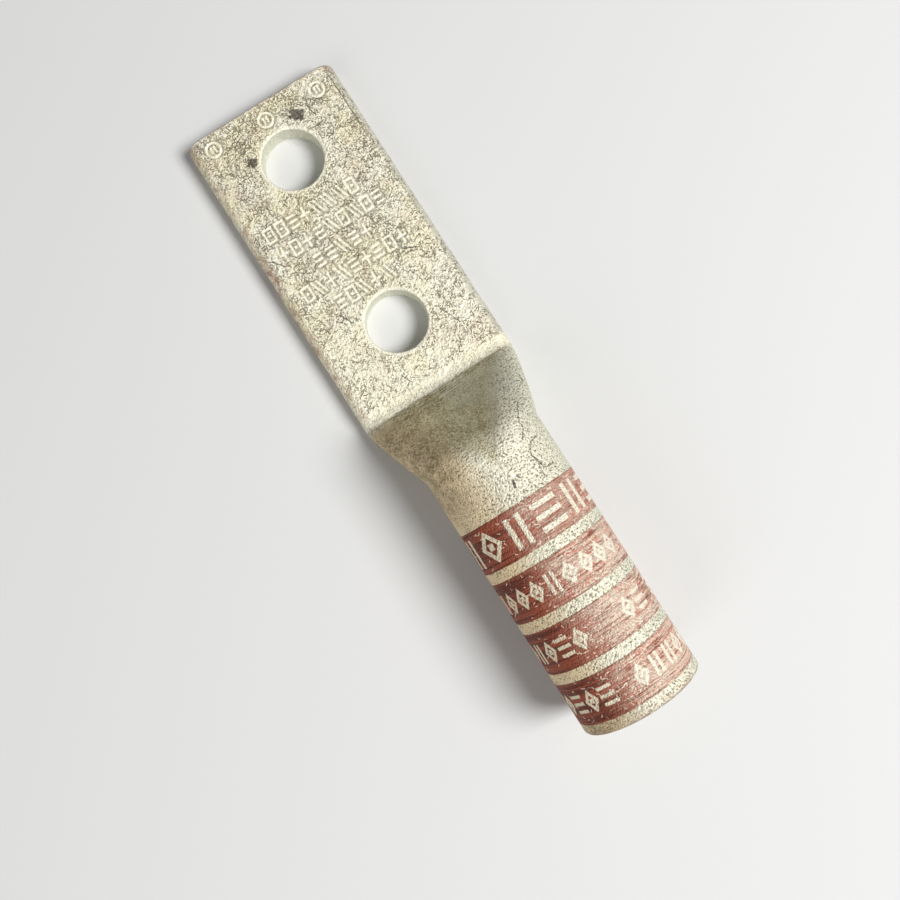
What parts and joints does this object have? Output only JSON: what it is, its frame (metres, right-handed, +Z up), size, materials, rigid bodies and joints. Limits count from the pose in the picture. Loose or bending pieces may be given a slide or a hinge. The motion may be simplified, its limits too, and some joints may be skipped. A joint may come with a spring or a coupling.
{
  "type": "terminal lug",
  "caption": "Compression terminal lug: a round cable barrel that flattens through a dished incline into a long drilled tongue for bolting to a bar or pad.",
  "frame": {"origin": "on the contact face's plane, under the middle of the length and width", "axes": "+X along the lug towards the barrel's mouth, +Z up from the tongue's contact face"},
  "size_m": [0.1574, 0.0388, 0.0279],
  "materials": {
    "tinned_copper": "matt tin plating over copper, speckled and scratched, with printed brown-red bands round the barrel"
  },
  "bodies": {
    "root": {"lug_body": "tinned_copper"}
  },
  "joints": []
}
